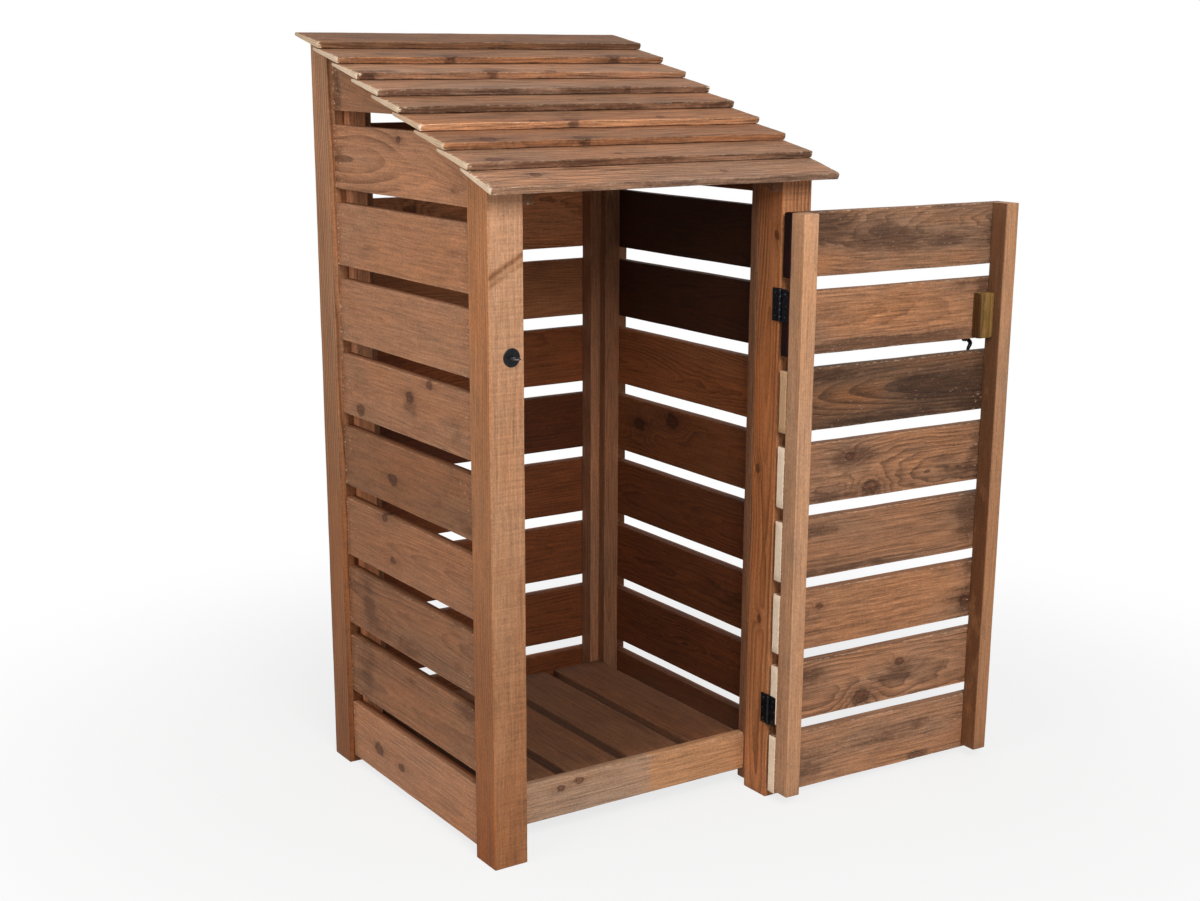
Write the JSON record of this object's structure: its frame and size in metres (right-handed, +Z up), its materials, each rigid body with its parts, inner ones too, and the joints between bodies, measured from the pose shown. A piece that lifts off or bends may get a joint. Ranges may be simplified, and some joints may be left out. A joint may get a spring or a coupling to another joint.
{
  "type": "log store",
  "caption": "Slatted timber log store with four corner posts, a lapped single-slope board roof, a slatted floor and a tall side-hung slatted door with a hook catch.",
  "frame": {"origin": "on the ground, under the middle of the overall box with the door standing open", "axes": "+Z up, +X to the right along the front as seen from outside, +Y from the front towards the back wall"},
  "size_m": [1.4174, 0.9602, 1.7963],
  "materials": {
    "post_timber": "rough-sawn brown-stained softwood",
    "board_timber": "rough-sawn brown-stained softwood boards",
    "batten_timber": "rough-sawn brown-stained softwood",
    "rail_timber": "greyish brown softwood with worn edges",
    "roof_timber": "sawn feather-edge boards, brown stain",
    "stile_timber": "planed brown-stained softwood",
    "block_timber": "yellow-green treated softwood",
    "black_iron": "black satin"
  },
  "bodies": {
    "store": {"post_front_left": "post_timber", "post_front_right": "post_timber", "post_back_left": "post_timber", "post_back_right": "post_timber", "left_wall_boards": "board_timber", "right_wall_boards": "board_timber", "back_wall_boards": "board_timber", "left_wall_battens": "batten_timber", "right_wall_battens": "batten_timber", "back_wall_battens": "batten_timber", "roof_battens": "batten_timber", "front_rail": "rail_timber", "floor_bearers": "batten_timber", "floor_slats": "batten_timber", "roof_board_1": "roof_timber", "roof_board_2": "roof_timber", "roof_board_3": "roof_timber", "roof_board_4": "roof_timber", "roof_board_5": "roof_timber", "roof_board_6": "roof_timber", "roof_board_7": "roof_timber", "roof_board_8": "roof_timber", "roof_board_9": "roof_timber", "hinge_post_upper": "black_iron", "hinge_post_lower": "black_iron", "hinge_pins": "black_iron", "eye_plate": "black_iron"},
    "door": {"door_boards": "board_timber", "door_stile_hinge": "stile_timber", "door_stile_free": "stile_timber", "door_block": "block_timber", "hinge_door_upper": "black_iron", "hinge_door_lower": "black_iron", "hook_plate": "black_iron"},
    "hook": {"hook_arm": "black_iron"}
  },
  "joints": [
    {"name": "door_hinge", "type": "hinge", "parent": "store", "child": "door", "pos_m": [0.07077, -0.37838, 0.714], "axis": [0, 0, 1], "range_deg": [-178, 2]},
    {"name": "hook_pivot", "type": "hinge", "parent": "door", "child": "hook", "pos_m": [0.65111, -0.39315, 1.142], "axis": [-0.0349, -0.9994, 0], "range_deg": [0, 84]}
  ]
}
